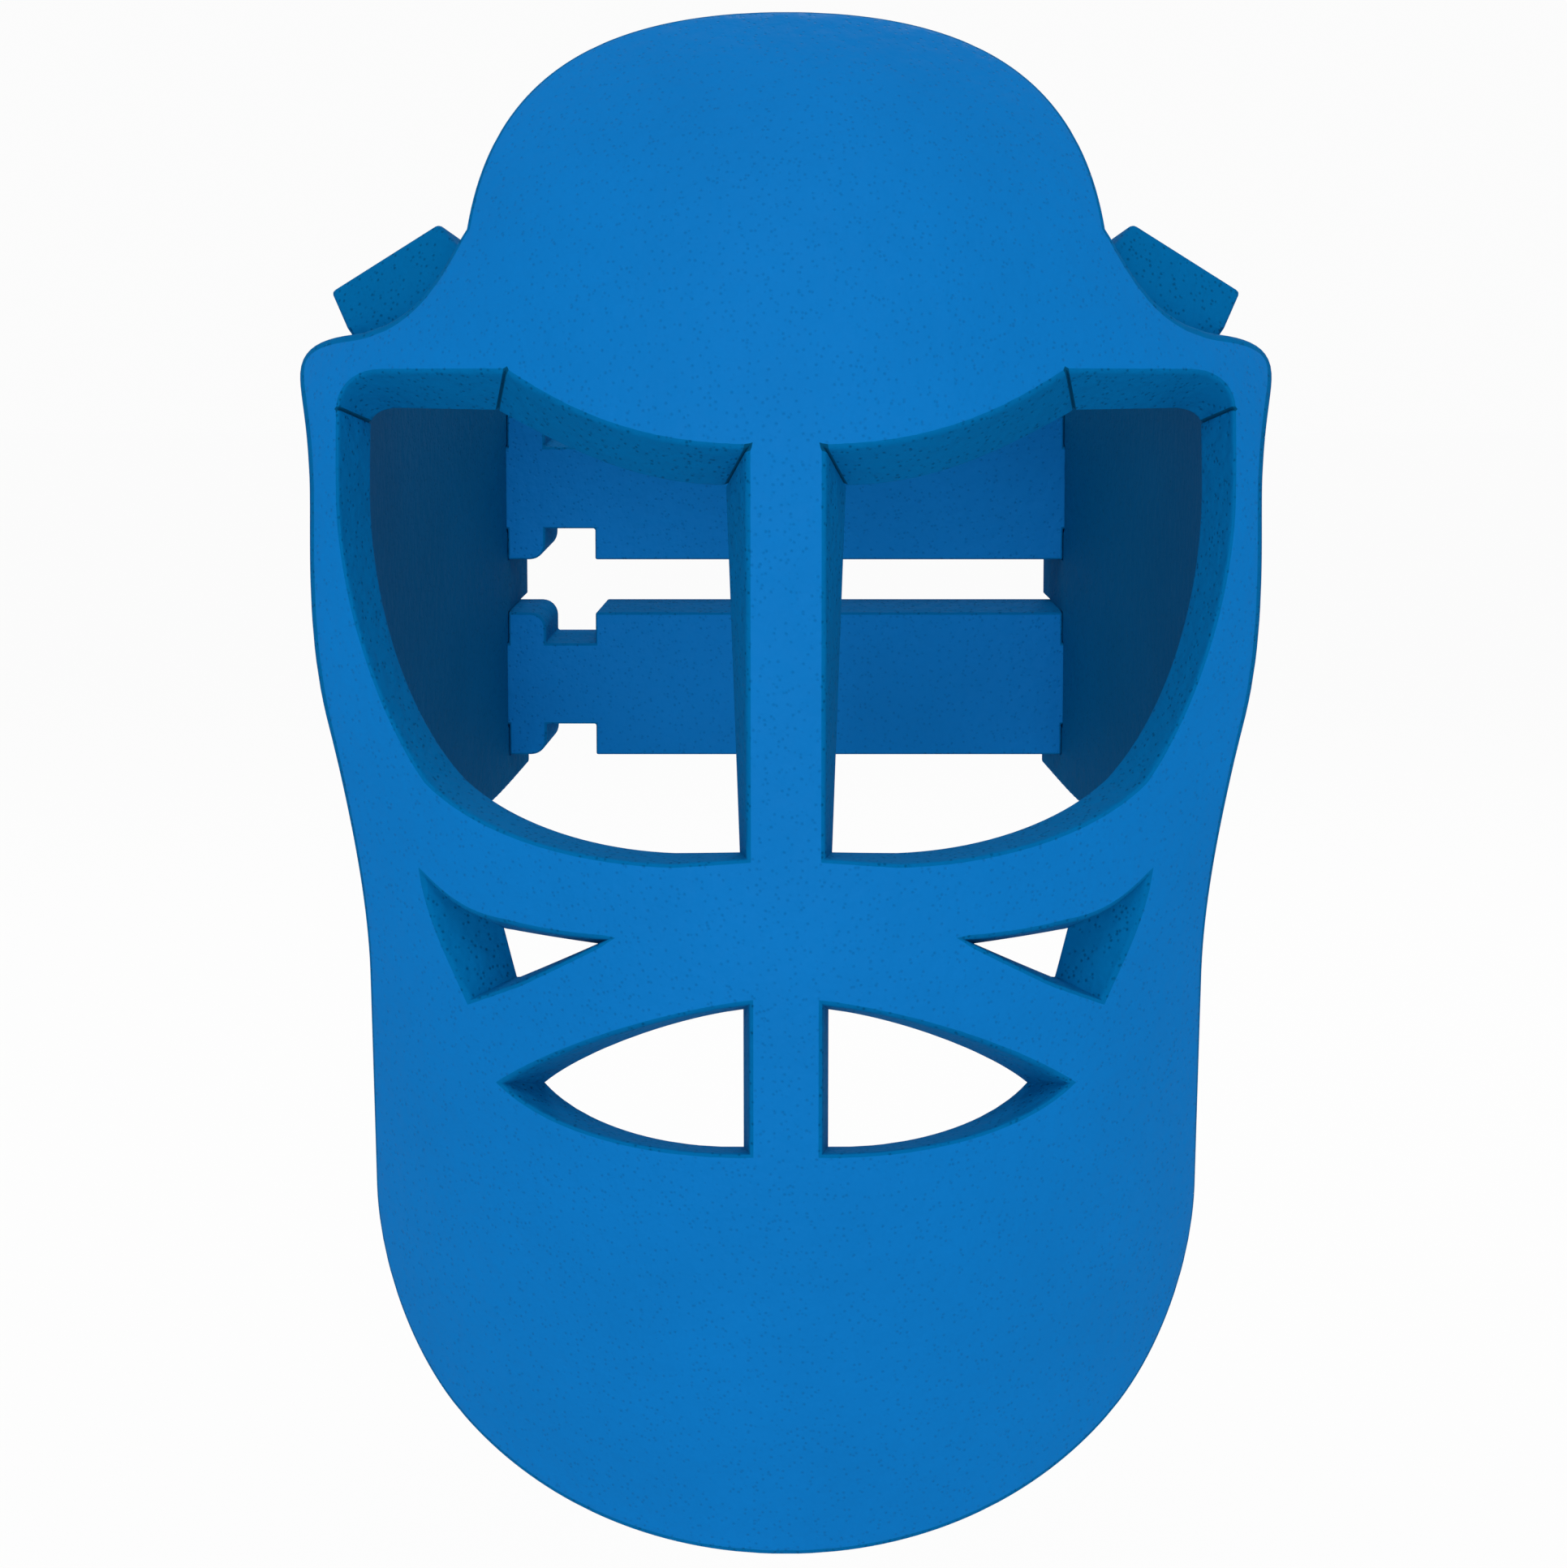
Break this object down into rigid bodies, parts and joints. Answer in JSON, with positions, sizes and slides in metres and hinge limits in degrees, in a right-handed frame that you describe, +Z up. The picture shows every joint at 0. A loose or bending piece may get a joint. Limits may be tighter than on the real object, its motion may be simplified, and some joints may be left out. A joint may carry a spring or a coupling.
{
  "type": "foam goalie mask",
  "caption": "Foam goalie mask: a curved face shell with eye openings and vents, side wings, temple braces, and flat back straps that hook into slots behind the head.",
  "frame": {"origin": "middle of the head space, halfway between the face shell's back at the nose bar and the straps' front faces, at the wearer's eye level", "axes": "+Z up, the wearer faces -Y, and +X is on the right for someone who looks at the face"},
  "size_m": [0.204, 0.232, 0.3234],
  "materials": {
    "foam_skin": "smooth matt skin of closed-cell foam, bright blue",
    "foam_edge": "cut edge of closed-cell foam, mid blue with fine cells",
    "foam_side": "matt inner side of closed-cell foam, navy blue"
  },
  "bodies": {
    "mask": {"face_shell": "foam_skin", "left_wing": "foam_side", "right_wing": "foam_side", "left_temple_brace": "foam_edge", "right_temple_brace": "foam_edge"},
    "upper_strap": {"upper_back_strap": "foam_skin"},
    "lower_strap": {"lower_back_strap": "foam_skin"}
  },
  "joints": [
    {"name": "upper_strap_unhook", "type": "slide", "parent": "mask", "child": "upper_strap", "axis": [0, 0.9703, 0.2419], "range_m": [0, 0.03]},
    {"name": "lower_strap_unhook", "type": "slide", "parent": "mask", "child": "lower_strap", "axis": [0, 0.9703, 0.2419], "range_m": [0, 0.03]}
  ]
}
